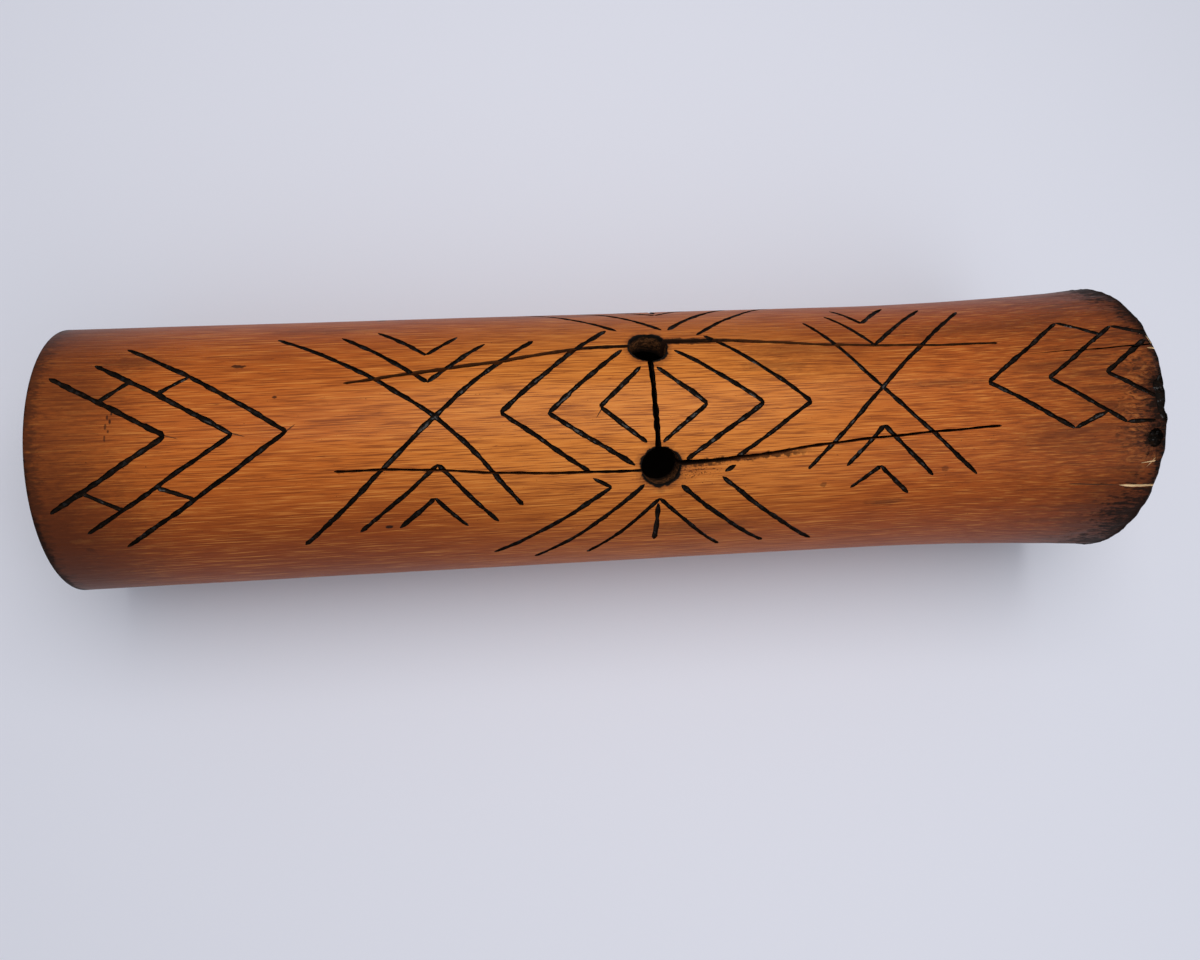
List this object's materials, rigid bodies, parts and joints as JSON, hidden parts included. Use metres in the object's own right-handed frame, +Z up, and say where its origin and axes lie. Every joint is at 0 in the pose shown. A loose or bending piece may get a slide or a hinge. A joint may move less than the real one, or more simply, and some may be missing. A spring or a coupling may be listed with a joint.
{
  "type": "slit drum",
  "caption": "Bamboo slit drum: a carved culm, open at one end, with two long slits, a cross cut and bored holes that free two tongues.",
  "frame": {"origin": "middle of the bounding box, on the surface that the drum lies on", "axes": "+X along the culm, from its open thin end towards its closed node end; +Z up, through the middle of the slit side; +Y across the culm"},
  "size_m": [0.4575, 0.1224, 0.1215],
  "materials": {
    "bamboo": "oiled and polished bamboo skin, with burnt black carving"
  },
  "bodies": {
    "root": {"bamboo_body": "bamboo"}
  },
  "joints": []
}
